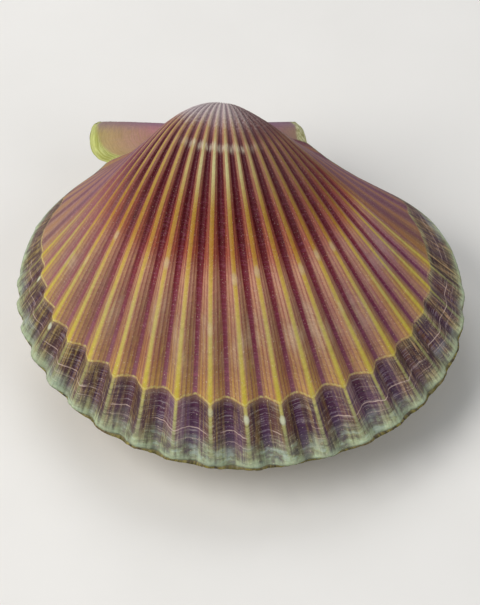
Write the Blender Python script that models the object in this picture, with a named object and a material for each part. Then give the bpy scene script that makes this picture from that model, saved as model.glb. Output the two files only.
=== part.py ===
"""A closed scallop shell: a domed upper valve, a flatter lower valve and the ligament at the hinge.

Each valve grows from its beak. Its edge is one outline, made smaller and turned about the hinge line
at every earlier stage of growth, and the ribs are pushed out along the surface.
Lengths are in shell heights until the pieces are scaled.
"""

import math

import bmesh
import bpy
import numpy as np
from mathutils import Matrix

SHELL_HEIGHT = 0.076
VALVE_GAP = 0.0003 / SHELL_HEIGHT

# The round disc: an ellipse, seen from the beak
DISC_CENTRE = (0.048, 0.512)
DISC_LONG = 0.5193
DISC_SHORT = 0.4746
DISC_TURN = 0.4997

# The shoulders and ears, from the disc to the end of the hinge line
FRONT_SHOULDER = ((-0.437, 0.321), (-0.403, 0.261), (-0.355, 0.201), (-0.305, 0.153), (-0.277, 0.118))
FRONT_EAR = ((-0.299, 0.106), (-0.316, 0.078), (-0.322, 0.045), (-0.318, 0.013), (-0.304, 0.0))
REAR_SHOULDER = ((0.533, 0.395), (0.490, 0.316), (0.427, 0.252), (0.336, 0.190), (0.258, 0.127), (0.199, 0.067))
REAR_EAR = ((0.194, 0.043), (0.187, 0.021), (0.170, 0.0))
BYSSAL_SHOULDER = ((-0.437, 0.321), (-0.403, 0.261), (-0.355, 0.201), (-0.296, 0.150), (-0.238, 0.103))
BYSSAL_EAR = ((-0.277, 0.091), (-0.311, 0.071), (-0.323, 0.043), (-0.318, 0.013), (-0.304, 0.0))

# Growth: how far the edge is turned and narrowed at each earlier stage
TURN_RATE = 0.7494
TURN_SLOWING = -0.0554
WIDENING = (1.249, 0.0376, 0.0519)
UPPER_LIFT = (1.0, -0.1346, 0.0123, 0.0218, -0.0336)
LOWER_TURN = 0.66
EAR_LIFT = 0.42
LIFT_SPAN = 0.9
LIFT_END = 1.08
UMBO_START = 0.1
UMBO_LOW = (0.118, 0.3855)
UMBO_WIDE = (0.3289, 0.7864)
UMBO_LEAN = -0.0515

# Ribs
RIB_COUNT = 20
RIB_FAN = (0.0428, 0.8245, -0.0575, -0.0167, 0.0365, -0.0213)
RIB_STEPS = 4
RIB_HEIGHT = 0.0100
RIB_LEAD = 0.0032
RIB_START = 0.1
RIB_SHARPNESS = 0.12
EDGE_RIBS = 5.0
RIB_END_HEIGHT = 0.30
BARE_COLUMNS = 2
GROWTH_STEP = 0.0014
GROWTH_STAGE = 0.874

OUTER_STAGES = (0.012, 0.03, 0.06, 0.10, 0.16, 0.24, 0.33, 0.43, 0.54, 0.65, 0.76, GROWTH_STAGE, 0.935, 1.0)
INNER_STAGES = (0.10, 0.22, 0.36, 0.50, 0.64, 0.78, 0.90, 1.0)

# Walls
UPPER_RIM = 0.0185
LOWER_RIM = 0.0260
HINGE_PLATE = 0.030
UPPER_CAVITY = 0.93
LOWER_CAVITY = 0.87
INNER_RIB_SHARE = 0.35
STEEPEST = math.radians(84)

LIGAMENT_SPAN = (-0.112, 0.072)
LIGAMENT_BACK = (-0.0128, -0.0006)
LIGAMENT_THICKNESS = 0.0078
LIGAMENT_SECTIONS = 12

# How the shell lies on its lower valve
TIP_FORWARD = math.radians(3.67)
TIP_SIDEWAYS = math.radians(2.76)

UPPER_COLOUR = (0.46, 0.19, 0.13, 1.0)
LOWER_COLOUR = (0.58, 0.48, 0.36, 1.0)
LIGAMENT_COLOUR = (0.05, 0.028, 0.02, 1.0)


def clear_scene():
    for obj in list(bpy.data.objects):
        bpy.data.objects.remove(obj, do_unlink=True)


def rib_angle(rib):
    """Direction of a rib at the edge, from the beak; whole numbers are crests and halves are grooves."""
    t = (rib - (RIB_COUNT - 1) / 2) / ((RIB_COUNT - 1) / 2)
    return sum(c * t**n for n, c in enumerate(RIB_FAN))


def disc_edge(angle):
    """Where the line from the beak in this direction leaves the disc's ellipse."""
    turn = np.array([[math.cos(DISC_TURN), math.sin(DISC_TURN)], [-math.sin(DISC_TURN), math.cos(DISC_TURN)]])
    size = np.array([DISC_LONG, DISC_SHORT])
    line = turn @ [math.sin(angle), math.cos(angle)] / size
    start = turn @ [-DISC_CENTRE[0], -DISC_CENTRE[1]] / size
    a = line @ line
    b = line @ start
    c = start @ start - 1
    reach = (-b + math.sqrt(b * b - a * c)) / a
    return reach * math.sin(angle), reach * math.cos(angle)


def bare_edge(rib, shoulder):
    """Points of the disc's edge between the last rib and the shoulder."""
    start = rib_angle(rib)
    end = math.atan2(*shoulder)
    shares = np.arange(1, BARE_COLUMNS + 1) / (BARE_COLUMNS + 1)
    return [disc_edge(start + share * (end - start)) for share in shares]


def edge_columns(front_shoulder, front_ear):
    """The edge of a valve from the front end of the hinge to the rear end: points, rib heights, lifts."""
    steps = np.arange(-RIB_STEPS // 2, (RIB_COUNT - 1) * RIB_STEPS + RIB_STEPS // 2 + 1) / RIB_STEPS
    disc = [disc_edge(rib_angle(rib)) for rib in steps]
    wave = np.cos(2 * math.pi * steps) + RIB_SHARPNESS * (1 - np.cos(4 * math.pi * steps))
    near_end = np.minimum(steps + 0.5, RIB_COUNT - 0.5 - steps) / EDGE_RIBS
    share = RIB_END_HEIGHT + (1 - RIB_END_HEIGHT) * np.clip(near_end, 0, 1)
    wave = wave * share
    wave[[0, -1]] = 0
    before = list(reversed(front_ear)) + list(reversed(front_shoulder))
    before += reversed(bare_edge(steps[0], front_shoulder[0]))
    after = bare_edge(steps[-1], REAR_SHOULDER[0]) + list(REAR_SHOULDER) + list(REAR_EAR)
    points = np.array(before + disc + after)
    ribs = np.concatenate([np.zeros(len(before)), wave, np.zeros(len(after))])
    ear = np.zeros(len(points))
    ear[: len(front_ear) + 1] = 1
    ear[-len(REAR_EAR) - 1 :] = 1
    return points, ribs, ear


def side_of(points):
    """How far round each point of the edge lies, kept within the ribbed part of the disc."""
    angle = np.arctan2(points[:, 0], np.maximum(points[:, 1], 1e-6))
    return np.clip(angle / LIFT_SPAN, -LIFT_END, LIFT_END)


def turned(stage):
    grown = -np.log(stage)
    return TURN_RATE * grown + TURN_SLOWING * grown**2


def fading(stage, end):
    """1 in the umbo, falling smoothly to 0 at the stage where its shape ends."""
    share = min(1.0, max(0.0, (stage - UMBO_START) / (end - UMBO_START)))
    return 1 - share**2 * (3 - 2 * share)


def upper_lift(side, ear, stage):
    """The upper valve's height at each side: its umbo is low in the middle and full at the flanks."""
    low, low_end = UMBO_LOW
    wide, wide_end = UMBO_WIDE
    full = fading(stage, wide_end) * (wide * side**2 + UMBO_LEAN * side) * (1 - ear)
    umbo = 1 - low * fading(stage, low_end) + full
    return sum(c * side**n for n, c in enumerate(UPPER_LIFT)) * umbo


def lower_lift(side):
    return sum(c * side**n for n, c in enumerate(UPPER_LIFT))


def grown_edge(points, ear, stage, upper):
    """The edge at an earlier stage of growth."""
    side = side_of(points)
    widening = WIDENING[0] + WIDENING[1] * side + WIDENING[2] * side**2
    lift = upper_lift(side, ear, stage) if upper else lower_lift(side)
    lift = lift * (1 - (1 - EAR_LIFT) * ear)
    turn = turned(stage) * (1.0 if upper else LOWER_TURN)
    x = stage**widening * points[:, 0]
    y = stage * points[:, 1] * np.cos(turn)
    z = stage * points[:, 1] * np.sin(turn) * lift
    return np.stack([x, y, z], axis=-1)


def surface_normals(grid):
    across = np.gradient(grid, axis=1)
    along = np.gradient(grid, axis=0)
    normal = np.cross(along, across)
    size = np.linalg.norm(normal, axis=-1, keepdims=True)
    normal = normal / np.maximum(size, 1e-12)
    return normal * np.sign(normal[-1, normal.shape[1] // 2, 2])


def outer_surface(points, ribs, ear, upper):
    """Rows of growth stages, each running from the front end of the hinge to the rear end."""
    plain = np.array([grown_edge(points, ear, stage, upper) for stage in OUTER_STAGES])
    normal = surface_normals(plain)
    last = len(OUTER_STAGES) - 1
    grid = []
    for row, stage in enumerate(OUTER_STAGES):
        # The lower valve's edge keeps to the upper valve's outline, where its ribs fit into the grooves.
        outwards = -1.0 if row == last and not upper else 1.0
        lead = 1 + RIB_LEAD * ribs * outwards * min(1.0, stage * 2)
        edge = grown_edge(points * lead[:, None], ear, stage, upper)
        height = RIB_HEIGHT * ribs * stage * min(1.0, stage / RIB_START)
        grid.append(edge + normal[row] * [outwards, outwards, 1.0] * height[:, None])
    grid = np.array(grid)
    step = OUTER_STAGES.index(GROWTH_STAGE)
    inset = np.minimum(1, points[:, 1] / DISC_CENTRE[1])[:, None]
    if upper:
        grid[step + 1 : last] -= normal[step + 1 : last] * GROWTH_STEP * inset
    # The edge itself keeps the height of the ribs and nothing else, so that the valves meet.
    grid[last, :, 2] = RIB_HEIGHT * ribs * normal[last, :, 2]
    return grid


def inner_edge(points, ribs, rim_width):
    """The edge moved inwards by the rim's width, and clear of the hinge plate."""
    along = np.gradient(points, axis=0)
    inward = np.stack([along[:, 1], -along[:, 0]], axis=-1)
    inward = inward / np.linalg.norm(inward, axis=-1, keepdims=True)
    lead = 1 + RIB_LEAD * ribs
    moved = points * lead[:, None] + inward * rim_width
    moved[:, 1] = np.maximum(moved[:, 1], HINGE_PLATE)
    moved[0, 1] = HINGE_PLATE
    moved[-1, 1] = HINGE_PLATE
    return moved


def inner_surface(points, ribs, ear, upper, rim_height):
    """The hollow side of the wall: the same growth from the inner edge, stopped short of upright."""
    edge = inner_edge(points, ribs, UPPER_RIM if upper else LOWER_RIM)
    edge[:, 1] -= HINGE_PLATE
    side = side_of(points)
    widening = WIDENING[0] + WIDENING[1] * side + WIDENING[2] * side**2
    grid = []
    for stage in INNER_STAGES:
        lift = upper_lift(side, ear, stage) * UPPER_CAVITY if upper else lower_lift(side) * LOWER_CAVITY
        lift = lift * (1 - (1 - EAR_LIFT) * ear)
        turn = turned(stage) * (1.0 if upper else LOWER_TURN)
        turn = STEEPEST * math.tanh(turn / STEEPEST)
        x = stage**widening * edge[:, 0]
        y = HINGE_PLATE + stage * edge[:, 1] * math.cos(turn)
        z = stage * edge[:, 1] * math.sin(turn) * lift
        near_rim = max(0.0, 2 * stage - 1)
        share = INNER_RIB_SHARE * stage + (1 - INNER_RIB_SHARE) * near_rim
        grid.append(np.stack([x, y, z + rim_height * min(1.0, share)], axis=-1))
    return np.array(grid)


def thinned(count, ribs_from, ribs_to):
    """Every second column between two ribs, and every column outside them."""
    middle = range(ribs_from, ribs_to + 1, 2)
    return list(range(ribs_from)) + list(middle) + list(range(ribs_to + 1, count))


def zip_strip(first, second, position):
    """Triangles between two rows of points that have different numbers of them."""
    faces = []
    i = 0
    j = 0
    while i < len(first) - 1 or j < len(second) - 1:
        ahead = i < len(first) - 1
        beside = j < len(second) - 1
        if ahead and beside:
            across_first = np.linalg.norm(position[first[i + 1]] - position[second[j]])
            across_second = np.linalg.norm(position[first[i]] - position[second[j + 1]])
            ahead = across_first <= across_second
        if ahead:
            faces.append((first[i], first[i + 1], second[j]))
            i += 1
        else:
            faces.append((first[i], second[j + 1], second[j]))
            j += 1
    return faces


def grid_faces(rows, columns, start):
    faces = []
    for r in range(rows - 1):
        for c in range(columns - 1):
            a = start + r * columns + c
            faces.append((a, a + 1, a + columns + 1, a + columns))
    return faces


def valve_shape(upper):
    """Points and faces of one valve, the beak at the origin and the edge's plane at height 0."""
    if upper:
        points, ribs, ear = edge_columns(FRONT_SHOULDER, FRONT_EAR)
    else:
        points, ribs, ear = edge_columns(BYSSAL_SHOULDER, BYSSAL_EAR)
        ribs = -ribs
    outer = outer_surface(points, ribs, ear, upper)
    rim_height = outer[-1, :, 2]
    inner = inner_surface(points, ribs, ear, upper, rim_height)
    first_rib = len(FRONT_SHOULDER) + len(FRONT_EAR) + BARE_COLUMNS
    last_rib = len(points) - 1 - len(REAR_SHOULDER) - len(REAR_EAR) - BARE_COLUMNS
    if upper:
        inner = inner[:, thinned(len(points), first_rib, last_rib)]
    columns = outer.shape[1]
    inner_columns = inner.shape[1]
    middle = np.array([[0.0, 0.0, 0.0]])
    pole = np.array([[0.0, HINGE_PLATE, 0.0]])
    position = np.concatenate([outer.reshape(-1, 3), inner.reshape(-1, 3), middle, pole])
    start = outer.shape[0] * columns
    centre = len(position) - 2
    inner_pole = len(position) - 1
    faces = grid_faces(outer.shape[0], columns, 0)
    faces += grid_faces(inner.shape[0], inner_columns, start)
    faces += [(centre, c, c + 1) for c in range(columns - 1)]
    faces += [(inner_pole, start + c, start + c + 1) for c in range(inner_columns - 1)]
    outer_rim = [(outer.shape[0] - 1) * columns + c for c in range(columns)]
    inner_rim = [start + (inner.shape[0] - 1) * inner_columns + c for c in range(inner_columns)]
    faces += zip_strip(outer_rim, inner_rim, position)
    outer_front = [r * columns for r in reversed(range(outer.shape[0]))]
    outer_rear = [r * columns + columns - 1 for r in range(outer.shape[0])]
    inner_front = [start + r * inner_columns for r in reversed(range(inner.shape[0]))]
    inner_rear = [start + (r + 1) * inner_columns - 1 for r in range(inner.shape[0])]
    hinge = outer_front + [centre] + outer_rear
    plate = inner_front + [inner_pole] + inner_rear
    faces += zip_strip(hinge, plate, position)
    if upper:
        position[:, 2] += VALVE_GAP / 2
    else:
        position[:, 2] = -position[:, 2] - VALVE_GAP / 2
    return position, faces


def ligament_shape():
    """A low dark strip along the back of the hinge line, thickest at the beaks."""
    rings = []
    middle = sum(LIGAMENT_SPAN) / 2
    half = (LIGAMENT_SPAN[1] - LIGAMENT_SPAN[0]) / 2
    back, front = LIGAMENT_BACK
    depth = (front - back) / 2
    for x in np.linspace(*LIGAMENT_SPAN, LIGAMENT_SECTIONS):
        share = 0.55 + 0.45 * math.cos(math.pi / 2 * (x - middle) / half)
        for k in range(8):
            angle = 2 * math.pi * k / 8
            y = front - depth * share * (1 - math.cos(angle))
            rings.append((x, y, LIGAMENT_THICKNESS / 2 * share * math.sin(angle)))
    faces = []
    for s in range(LIGAMENT_SECTIONS - 1):
        for k in range(8):
            a = s * 8 + k
            b = s * 8 + (k + 1) % 8
            faces.append((a, b, b + 8, a + 8))
    faces.append(tuple(range(8)))
    faces.append(tuple(range((LIGAMENT_SECTIONS - 1) * 8, LIGAMENT_SECTIONS * 8)))
    return np.array(rings), faces


def settled(shapes):
    """The pieces at full size, the edge towards -Y, tipped as they lie and standing on height 0."""
    tip = Matrix.Rotation(TIP_SIDEWAYS, 3, "Y") @ Matrix.Rotation(TIP_FORWARD, 3, "X")
    placed = {}
    for name, (position, faces) in shapes.items():
        world = position * [1, -1, 1] * SHELL_HEIGHT
        placed[name] = (world @ np.array(tip).T, faces)
    every = np.concatenate([position for position, _ in placed.values()])
    low = every.min(axis=0)
    high = every.max(axis=0)
    base = np.array([(low[0] + high[0]) / 2, (low[1] + high[1]) / 2, low[2]])
    return {name: (position - base, faces) for name, (position, faces) in placed.items()}


def material(name, colour, roughness):
    made = bpy.data.materials.new(name)
    made.use_nodes = True
    shader = made.node_tree.nodes["Principled BSDF"]
    shader.inputs["Base Color"].default_value = colour
    shader.inputs["Roughness"].default_value = roughness
    shader.inputs["Metallic"].default_value = 0.0
    return made


def add_piece(name, position, faces, colour, roughness):
    mesh = bpy.data.meshes.new(name)
    mesh.from_pydata([tuple(p) for p in position], [], faces)
    shape = bmesh.new()
    shape.from_mesh(mesh)
    bmesh.ops.recalc_face_normals(shape, faces=shape.faces)
    bmesh.ops.triangulate(shape, faces=shape.faces, quad_method="SHORT_EDGE")
    if shape.calc_volume(signed=True) < 0:
        bmesh.ops.reverse_faces(shape, faces=shape.faces)
    shape.to_mesh(mesh)
    shape.free()
    obj = bpy.data.objects.new(name, mesh)
    bpy.context.scene.collection.objects.link(obj)
    mesh.materials.append(material(name, colour, roughness))


def build():
    clear_scene()
    shapes = settled({
        "upper_valve": valve_shape(True),
        "lower_valve": valve_shape(False),
        "ligament": ligament_shape(),
    })
    add_piece("upper_valve", *shapes["upper_valve"], UPPER_COLOUR, 0.45)
    add_piece("lower_valve", *shapes["lower_valve"], LOWER_COLOUR, 0.5)
    add_piece("ligament", *shapes["ligament"], LIGAMENT_COLOUR, 0.6)


build()
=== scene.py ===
"""A closed scallop shell seen from above its front edge, on a pale floor in soft light.

Each valve is a closed mesh whose points carry their place on the shell's edge and their stage of growth.
A Geometry Nodes tree grows them into shape, adds ribs, striae and growth lines, and keeps the growth age
as an attribute, which the procedural materials read. Lengths are in shell heights until the last step.
"""

import math

import bmesh
import bpy
import numpy as np
from mathutils import Matrix, Vector, noise

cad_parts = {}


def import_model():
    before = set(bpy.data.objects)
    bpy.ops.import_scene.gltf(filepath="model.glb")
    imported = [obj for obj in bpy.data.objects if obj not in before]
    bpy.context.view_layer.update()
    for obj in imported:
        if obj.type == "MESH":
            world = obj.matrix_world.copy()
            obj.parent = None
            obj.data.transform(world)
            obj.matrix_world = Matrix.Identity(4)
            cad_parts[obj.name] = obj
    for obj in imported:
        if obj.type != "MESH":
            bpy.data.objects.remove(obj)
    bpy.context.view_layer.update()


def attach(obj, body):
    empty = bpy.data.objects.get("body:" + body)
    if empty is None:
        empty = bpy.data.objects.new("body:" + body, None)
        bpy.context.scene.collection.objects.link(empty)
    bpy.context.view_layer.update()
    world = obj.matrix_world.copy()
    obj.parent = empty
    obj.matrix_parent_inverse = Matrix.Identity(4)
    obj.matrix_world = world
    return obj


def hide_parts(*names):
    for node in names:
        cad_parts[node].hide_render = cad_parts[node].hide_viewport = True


# The shell's size and place in the frame
SHELL_HEIGHT = 0.076
BEAK = Vector((-0.003522, 0.037697, 0.014783))
TIP_FORWARD = math.radians(3.67)
TIP_SIDEWAYS = math.radians(2.76)
VALVE_GAP = 0.0003 / SHELL_HEIGHT

# The round disc: an ellipse, seen from the beak
DISC_CENTRE = (0.048, 0.512)
DISC_LONG = 0.5193
DISC_SHORT = 0.4746
DISC_TURN = 0.4997

# The shoulders and ears, from the disc to the end of the hinge line
FRONT_SHOULDER = ((-0.437, 0.321), (-0.403, 0.261), (-0.355, 0.201), (-0.305, 0.153), (-0.277, 0.118))
FRONT_EAR = (
    (-0.277, 0.118), (-0.299, 0.106), (-0.316, 0.078), (-0.322, 0.045), (-0.318, 0.013), (-0.304, 0.0),
)
BYSSAL_SHOULDER = ((-0.437, 0.321), (-0.403, 0.261), (-0.355, 0.201), (-0.296, 0.150), (-0.238, 0.103))
BYSSAL_EAR = (
    (-0.238, 0.103), (-0.277, 0.091), (-0.311, 0.071), (-0.323, 0.043), (-0.318, 0.013), (-0.304, 0.0),
)
REAR_SHOULDER = (
    (0.533, 0.395), (0.490, 0.316), (0.427, 0.252), (0.336, 0.190), (0.258, 0.127), (0.199, 0.067),
)
REAR_EAR = ((0.199, 0.067), (0.194, 0.043), (0.187, 0.021), (0.170, 0.0))

# Growth: how far the edge is turned and narrowed at each earlier stage
TURN_RATE = 0.7494
TURN_SLOWING = -0.0554
WIDENING = (1.249, 0.0376, 0.0519)
UPPER_LIFT = (1.0, -0.1346, 0.0123, 0.0218, -0.0336)
LOWER_TURN = 0.66
LOWER_DEPTH = 0.989
EAR_LIFT = 0.42
EAR_THICKNESS = 0.006
EAR_FORWARD = 0.012
LIFT_SPAN = 0.9
LIFT_END = 1.08
UMBO_START = 0.1
UMBO_LOW = (0.118, 0.3855)
UMBO_WIDE = (0.3289, 0.7864)
UMBO_LEAN = -0.0515
UPPER_RIM = 0.025
LOWER_RIM = 0.030
HINGE_PLATE = 0.030
UPPER_CAVITY = 0.93
LOWER_CAVITY = 0.87
STEEPEST = math.radians(84)

# Ribs
RIB_COUNT = 20
RIB_FAN = (0.0428, 0.8245, -0.0575, -0.0167, 0.0365, -0.0213)
RIB_HEIGHT = 0.0100
RIB_LEAD = 0.0032
RIB_START = 0.1
RIB_SHARPNESS = 0.12
EDGE_RIBS = 5.0
RIB_END_HEIGHT = 0.30
STRIAE = 8
SHOULDER_RIBLETS = 1.15
FINE_RELIEF = 0.4
GROWTH_STAGE = 0.874
GROWTH_LINE = (0.8805, -0.0145, 0.0495, 0.018, -0.0404)
GROWTH_LINE_LATEST = 0.985
LINE_RISE_IN_FRONT = 0.045
LINE_RISE_AT_EARS = 0.10
LOWER_EDGE_SHOWS = ((8.0, 3.2), (15.2, 3.0))

# The ligament, behind the hinge line
LIGAMENT_SPAN = (-0.112, 0.072)
LIGAMENT_DEPTH = 0.0128
LIGAMENT_THICKNESS = 0.0078
LIGAMENT_RINGS = 120
LIGAMENT_SIDES = 16

# How finely the valves are divided
UPPER_ROWS = 112
UPPER_RIB_COLUMNS = 32
LOWER_ROWS = 96
LOWER_RIB_COLUMNS = 16
BARE_COLUMNS = 16
SHOULDER_COLUMNS = 36
EAR_COLUMNS = 28
INNER_COLUMN_STEP = 4
INNER_ROW_STEP = 6
FIRST_STAGE = 0.012
POLE_STAGE = 0.05

# The photograph's viewpoint, in the shell's own directions
VIEW_HEIGHT = math.radians(52.11)
VIEW_YAW = math.radians(5.414)
VIEW_ROLL = math.radians(5.120)
VIEW_DISTANCE = 5.9838
VIEW_TARGET = Vector((0.0, 0.5, 0.08))
VIEW_OFFSET = (-0.0537, 0.083)
VIEW_LENS = 157.48

# The studio: each light's name, place, size, power and colour
LIGHTS = (
    ("key light", (-0.45, -0.16, 0.48), 0.6, 3.5, (1.0, 0.97, 0.93)),
    ("fill light", (0.45, -0.36, 0.38), 0.5, 1.25, (0.95, 0.97, 1.0)),
    ("back light", (-0.10, 0.42, 0.45), 0.4, 1.1, (1.0, 1.0, 1.0)),
)
LIGHT_TARGET = Vector((0, 0, 0.01))
SKY_COLOUR = (0.9, 0.95, 1.0, 1.0)
SKY_STRENGTH = 0.27
FLOOR_REACH = 3


class Value:
    """An output of a node, which can be used in Python sums."""

    def __init__(self, maker, socket):
        self.maker = maker
        self.socket = socket

    def math(self, operation, *others):
        inputs = dict(enumerate((self,) + others))
        return self.maker.node("ShaderNodeMath", {"operation": operation}, inputs)

    def __add__(self, other):
        return self.math("ADD", other)

    __radd__ = __add__

    def __sub__(self, other):
        return self.math("SUBTRACT", other)

    def __rsub__(self, other):
        inputs = {0: other, 1: self}
        return self.maker.node("ShaderNodeMath", {"operation": "SUBTRACT"}, inputs)

    def __mul__(self, other):
        return self.math("MULTIPLY", other)

    __rmul__ = __mul__

    def __truediv__(self, other):
        return self.math("DIVIDE", other)

    def __neg__(self):
        return self.math("MULTIPLY", -1.0)

    def __pow__(self, other):
        return self.math("POWER", other)

    def clamped(self, low, high):
        return self.math("MAXIMUM", low).math("MINIMUM", high)

    def polynomial(self, terms):
        total = terms[-1]
        for term in reversed(terms[:-1]):
            total = self * total + term
        return total

    def smooth(self, low, high):
        """0 at low and 1 at high, with a soft change between; low may be the larger number."""
        settings = {"interpolation_type": "SMOOTHSTEP"}
        values = {"Value": self, "From Min": low, "From Max": high}
        return self.maker.node("ShaderNodeMapRange", settings, values)

    def peak(self, centre, width):
        """1 at the centre, and 0 past the width on both sides."""
        return 1.0 - (self - centre).math("ABSOLUTE").smooth(0.0, width)

    def ramp(self, stops):
        """A colour that changes along the value, given as places and paints."""
        settings = {"stops": [(position, paint(colour)) for position, colour in stops]}
        return self.maker.node("ShaderNodeValToRGB", settings, {"Fac": self})

    def between(self, first, second):
        """A colour between two paints."""
        return self.maker.mix(self, paint(first), paint(second))

    def blend(self, share, other):
        """A colour between this one and another."""
        return self.maker.mix(share, self, other)

    def tint(self, share, text):
        """This colour with a share of a paint over it."""
        return self.maker.mix(share, self, paint(text))


class Maker:
    """Adds nodes to one node tree."""

    def __init__(self, tree):
        self.tree = tree

    def node(self, kind, settings=None, values=None, output=0):
        made = self.tree.nodes.new(kind)
        for name, setting in (settings or {}).items():
            if name == "stops":
                set_stops(made.color_ramp, setting)
            else:
                setattr(made, name, setting)
        for name, value in (values or {}).items():
            if isinstance(value, Value):
                self.tree.links.new(value.socket, made.inputs[name])
            else:
                made.inputs[name].default_value = value
        return Value(self, made.outputs[output])

    def noise(self, vector, scale, detail=2.0, roughness=0.5):
        values = {"Vector": vector, "Scale": scale, "Detail": detail, "Roughness": roughness}
        return self.node("ShaderNodeTexNoise", None, values)

    def mix(self, share, first, second):
        return self.node("ShaderNodeMix", {"data_type": "RGBA"}, {0: share, 6: first, 7: second}, 2)

    def vector(self, x, y, z=0.0):
        return self.node("ShaderNodeCombineXYZ", None, {"X": x, "Y": y, "Z": z})


def set_stops(ramp, stops):
    while len(ramp.elements) < len(stops):
        ramp.elements.new(1.0)
    for element, (position, colour) in zip(ramp.elements, stops):
        element.position = position
        element.color = colour


def paint(text):
    """A colour from its six hexadecimal digits, as it looks on a screen."""
    parts = [int(text[i : i + 2], 16) / 255 for i in (0, 2, 4)]
    return tuple(p / 12.92 if p <= 0.04045 else ((p + 0.055) / 1.055) ** 2.4 for p in parts) + (1.0,)


def in_scene(name, data):
    """A new object of this data, linked to the scene."""
    made = bpy.data.objects.new(name, data)
    bpy.context.scene.collection.objects.link(made)
    return made


# The edge of a valve


def rib_angle(rib):
    """Direction of a rib at the edge, from the beak; whole numbers are crests and halves are grooves."""
    t = (rib - (RIB_COUNT - 1) / 2) / ((RIB_COUNT - 1) / 2)
    return sum(c * t**n for n, c in enumerate(RIB_FAN))


def disc_edge(angle):
    """Where the lines from the beak in these directions leave the disc's ellipse."""
    cosine, sine = math.cos(DISC_TURN), math.sin(DISC_TURN)
    turn = np.array([[cosine, sine], [-sine, cosine]])
    size = np.array([[DISC_LONG], [DISC_SHORT]])
    line = turn @ np.array([np.sin(angle), np.cos(angle)]) / size
    start = turn @ np.array([[-DISC_CENTRE[0]], [-DISC_CENTRE[1]]]) / size
    a = (line**2).sum(axis=0)
    b = (line * start).sum(axis=0)
    c = (start**2).sum() - 1
    reach = (-b + np.sqrt(b * b - a * c)) / a
    return np.stack([reach * np.sin(angle), reach * np.cos(angle)], axis=-1)


def distances(points):
    """How far along a line of points each one is."""
    return np.concatenate([[0], np.cumsum(np.linalg.norm(np.diff(points, axis=0), axis=1))])


def smooth_path(points, count):
    """Points evenly spaced along a smooth curve through the given ones."""
    points = np.array(points)
    ends = [2 * points[0] - points[1], 2 * points[-1] - points[-2]]
    padded = np.concatenate([ends[:1], points, ends[1:]])
    fine = []
    for i in range(len(points) - 1):
        before, start, end, after = padded[i : i + 4]
        for t in np.arange(20) / 20:
            bend = 2 * before - 5 * start + 4 * end - after
            twist = 3 * (start - end) + after - before
            fine.append((2 * start + (end - before) * t + bend * t**2 + twist * t**3) / 2)
    fine = np.array(fine + [points[-1]])
    length = distances(fine)
    wanted = np.linspace(0, length[-1], count)
    return np.stack([np.interp(wanted, length, fine[:, k]) for k in (0, 1)], axis=-1)


def edge_columns(shoulder, ear, rib_columns):
    """The edge from the front end of the hinge to the rear end, with what each of its points carries."""
    ribs = np.arange(-0.5, RIB_COUNT - 0.5 + 0.5 / rib_columns, 1 / rib_columns)
    from_end = np.minimum(ribs + 0.5, RIB_COUNT - 0.5 - ribs)
    share = RIB_END_HEIGHT + (1 - RIB_END_HEIGHT) * np.clip(from_end / EDGE_RIBS, 0, 1)
    share *= np.clip(from_end * 4, 0, 1)
    disc = disc_edge(rib_angle(ribs))
    parts = []
    for side, shoulder_points, ear_points in ((0, shoulder, ear), (-1, REAR_SHOULDER, REAR_EAR)):
        turn = np.linspace(rib_angle(ribs[side]), math.atan2(*shoulder_points[0]), BARE_COLUMNS + 2)
        bare = disc_edge(turn)[1:]
        slope = smooth_path(shoulder_points, SHOULDER_COLUMNS)[1:]
        wing = smooth_path(ear_points, EAR_COLUMNS)[1:]
        parts.append((np.concatenate([bare, slope, wing]), len(bare) + len(slope)))
    front, front_ear = parts[0]
    rear, rear_ear = parts[1]
    points = np.concatenate([front[::-1], disc, rear])
    along = distances(points)
    first = len(front)
    end = first + len(disc)
    pitch = (along[end - 1] - along[first]) / (RIB_COUNT - 1)
    rib = (along - along[first]) / pitch - 0.5
    rib[first:end] = ribs
    rib[end:] = ribs[-1] + (along[end:] - along[end - 1]) / pitch
    shares = np.concatenate([np.zeros(first), share, np.zeros(len(rear))])
    ears = np.zeros(len(points))
    ears[: first - front_ear + 1] = 1
    ears[end + rear_ear - 1 :] = 1
    near = np.array([1, 3, 5, 3, 1]) / 13
    ears = np.maximum(ears, np.convolve(np.pad(ears, 2, mode="edge"), near, mode="valid"))
    return points, rib, shares, ears


def inner_edge(points, rim_width):
    """The edge moved inwards by the rim's width, and clear of the hinge plate."""
    along = np.gradient(points, axis=0)
    inward = np.stack([along[:, 1], -along[:, 0]], axis=-1)
    inward = inward / np.linalg.norm(inward, axis=-1, keepdims=True)
    moved = points + inward * rim_width
    moved[:, 1] = np.maximum(moved[:, 1], HINGE_PLATE)
    moved[[0, -1], 1] = HINGE_PLATE
    moved[:, 1] -= HINGE_PLATE
    return moved


# The closed meshes that the growth is worked out on


def stages_of(count):
    """Stages of growth, close together near the edge, where the lines crowd."""
    early = np.geomspace(FIRST_STAGE, 0.2, count // 5)
    middle = np.linspace(0.2, 0.86, count // 2)[1:]
    late = np.linspace(0.86, 1.0, count - len(early) - len(middle) + 1)[1:]
    return np.concatenate([early, middle, late])


def picked(count, step):
    """Every so many of a row's numbers, with its last one."""
    return sorted(set(range(0, count, step)) | {count - 1})


def grid_faces(grid):
    corners = (grid[:-1, :-1], grid[:-1, 1:], grid[1:, 1:], grid[1:, :-1])
    return list(zip(*(corner.ravel() for corner in corners)))


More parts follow.
